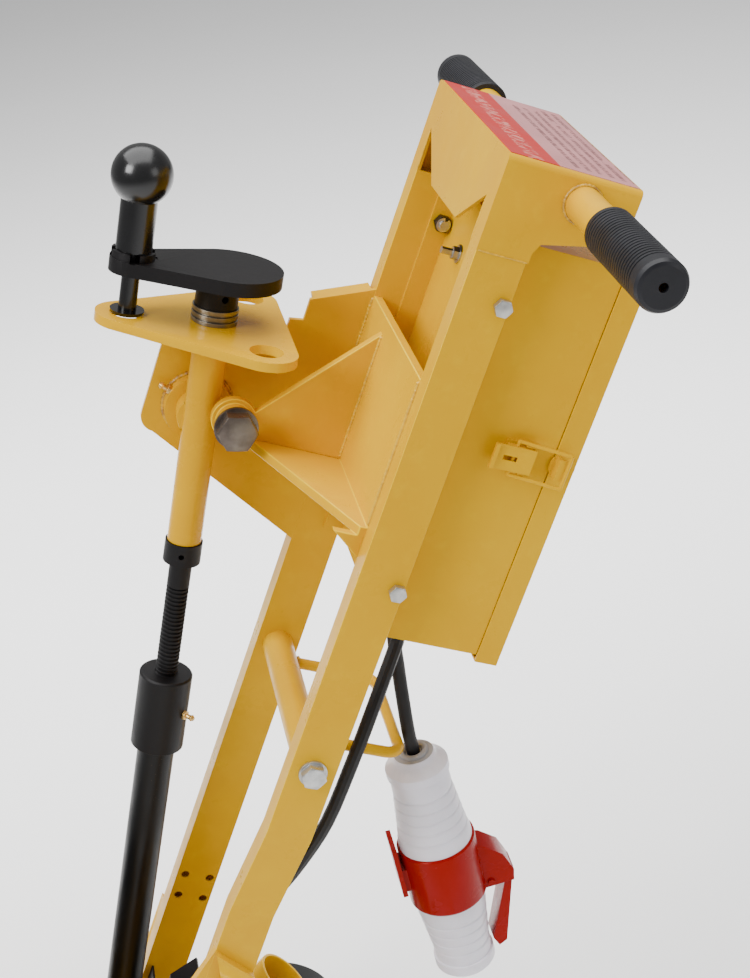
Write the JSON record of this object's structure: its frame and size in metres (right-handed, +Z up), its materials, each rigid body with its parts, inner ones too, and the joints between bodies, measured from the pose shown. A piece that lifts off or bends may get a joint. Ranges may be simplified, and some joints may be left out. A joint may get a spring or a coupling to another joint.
{
  "type": "walk-behind concrete floor machine",
  "caption": "Walk-behind electric floor machine with a leaning twin-leg handle, hinged control box, crank-adjusted depth jack, cutting drum, swing-arm wheels and dust port.",
  "frame": {"origin": "centre of the machine's footprint box at floor level, midway across the two grips", "axes": "+Z up, +X to the rear towards the operator, -Y to the operator's left side seen from behind the handle's near leg"},
  "size_m": [0.9546, 0.592, 1.0993],
  "materials": {
    "yellow_paint": "gloss",
    "panel_print": "satin",
    "grip_rubber": "matte",
    "cable_rubber": "matte",
    "zinc_steel": "satin",
    "black_steel": "satin",
    "grey_iron": "satin",
    "drum_steel": "worn",
    "gear_plastic": "matte",
    "tyre_rubber": "matte",
    "plug_white": "satin",
    "plug_red": "gloss",
    "green_plastic": "gloss",
    "red_plastic": "gloss"
  },
  "bodies": {
    "frame": {"leg_near": "yellow_paint", "leg_far": "yellow_paint", "head_cap": "yellow_paint", "head_panel": "panel_print", "handlebar": "yellow_paint", "grip_near": "grip_rubber", "grip_far": "grip_rubber", "box_channel": "yellow_paint", "box_body": "yellow_paint", "box_gear": "gear_plastic", "lid_hinge_pin": "zinc_steel", "latch_base": "yellow_paint", "handle_bolts": "zinc_steel", "cross_tube": "yellow_paint", "cable_hook": "yellow_paint", "bracket_far_plate": "yellow_paint", "bracket_web": "yellow_paint", "bracket_gusset": "yellow_paint", "trunnion_boss": "yellow_paint", "steady_bolt": "zinc_steel", "glands": "gear_plastic", "lugs": "yellow_paint", "deck": "yellow_paint", "side_plate_near": "yellow_paint", "side_plate_far": "yellow_paint", "skids": "black_steel", "linkage_cover": "black_steel", "dust_pipe": "yellow_paint", "drum_bearings": "grey_iron", "motor": "grey_iron", "belt": "cable_rubber", "belt_guard": "yellow_paint", "motor_cable": "cable_rubber", "pigtail": "cable_rubber", "plug_body": "plug_white", "plug_ring": "plug_red", "plug_connector": "plug_white"},
    "lid": {"box_lid": "yellow_paint", "lid_keeper": "yellow_paint"},
    "start": {"start_button": "green_plastic"},
    "stop": {"stop_button": "red_plastic"},
    "lever": {"latch_lever": "yellow_paint"},
    "bail": {"latch_bail": "yellow_paint"},
    "column": {"jack_tube": "yellow_paint", "index_plate": "yellow_paint", "jack_collar": "black_steel", "thrust_bearing": "zinc_steel"},
    "crank_body": {"crank": "black_steel", "jack_screw": "black_steel"},
    "plunger_body": {"plunger": "black_steel"},
    "slider": {"jack_nut": "black_steel", "lower_tube": "black_steel"},
    "swing": {"swing_arm": "black_steel"},
    "wheel_near_body": {"wheel_near": "grey_iron", "tyre_near": "tyre_rubber"},
    "wheel_far_body": {"wheel_far": "grey_iron", "tyre_far": "tyre_rubber"},
    "cutting_drum": {"drum": "drum_steel", "drum_cutters": "drum_steel"},
    "motor_rotor": {"motor_pulley": "grey_iron"}
  },
  "joints": [
    {"name": "crank_turn", "type": "hinge", "parent": "column", "child": "crank_body", "pos_m": [0.12224, 0.065, 0.85801], "axis": [0.309, 0, 0.9511], "range_deg": [0, 2160]},
    {"name": "column_tilt", "type": "hinge", "parent": "frame", "child": "column", "pos_m": [0.12224, 0.065, 0.85801], "axis": [0, 1, 0], "range_deg": [-0.4, 0]},
    {"name": "jack_extend", "type": "slide", "parent": "column", "child": "slider", "axis": [-0.309, 0, -0.9511], "range_m": [0, 0.0245]},
    {"name": "swing_lift", "type": "hinge", "parent": "frame", "child": "swing", "pos_m": [-0.022, 0, 0.181], "axis": [0, 1, 0], "range_deg": [-19.6, 0]},
    {"name": "plunger_pull", "type": "slide", "parent": "crank_body", "child": "plunger_body", "axis": [0.309, 0, 0.9511], "range_m": [0, 0.014], "stiffness_N_per_m": 600, "springref_m": -0.01},
    {"name": "wheel_near_spin", "type": "hinge", "parent": "swing", "child": "wheel_near_body", "pos_m": [0.064, 0, 0.075], "axis": [0, 1, 0], "continuous": true},
    {"name": "wheel_far_spin", "type": "hinge", "parent": "swing", "child": "wheel_far_body", "pos_m": [0.064, 0, 0.075], "axis": [0, 1, 0], "continuous": true},
    {"name": "drum_spin", "type": "hinge", "parent": "frame", "child": "cutting_drum", "pos_m": [-0.25, 0, 0.085], "axis": [0, 1, 0], "continuous": true},
    {"name": "motor_spin", "type": "hinge", "parent": "frame", "child": "motor_rotor", "pos_m": [-0.34, 0, 0.285], "axis": [0, 1, 0], "continuous": true},
    {"name": "lid_swing", "type": "hinge", "parent": "frame", "child": "lid", "pos_m": [0.39502, 0.101, 0.85482], "axis": [0.454, 0, 0.891], "range_deg": [0, 110]},
    {"name": "latch_lift", "type": "hinge", "parent": "frame", "child": "lever", "pos_m": [0.36225, -0.1005, 0.83785], "axis": [0.454, 0, 0.891], "range_deg": [0, 90]},
    {"name": "bail_turn", "type": "hinge", "parent": "lever", "child": "bail", "pos_m": [0.35156, -0.1015, 0.8433], "axis": [0.454, 0, 0.891], "range_deg": [-90, 0]},
    {"name": "start_press", "type": "slide", "parent": "lid", "child": "start", "axis": [-0.891, 0, 0.454], "range_m": [0, 0.004], "stiffness_N_per_m": 400, "springref_m": -0.004},
    {"name": "stop_press", "type": "slide", "parent": "lid", "child": "stop", "axis": [-0.891, 0, 0.454], "range_m": [0, 0.004], "stiffness_N_per_m": 500, "springref_m": -0.004}
  ],
  "couplings": [
    {"joint": "jack_extend", "follows": "crank_turn", "m_per_rad": 0.00063662},
    {"joint": "swing_lift", "follows": "crank_turn", "ratio": -0.0089713},
    {"joint": "column_tilt", "follows": "crank_turn", "ratio": -0.00013465},
    {"joint": "motor_spin", "follows": "drum_spin", "ratio": 0.75},
    {"joint": "bail_turn", "follows": "latch_lift", "ratio": -1}
  ]
}
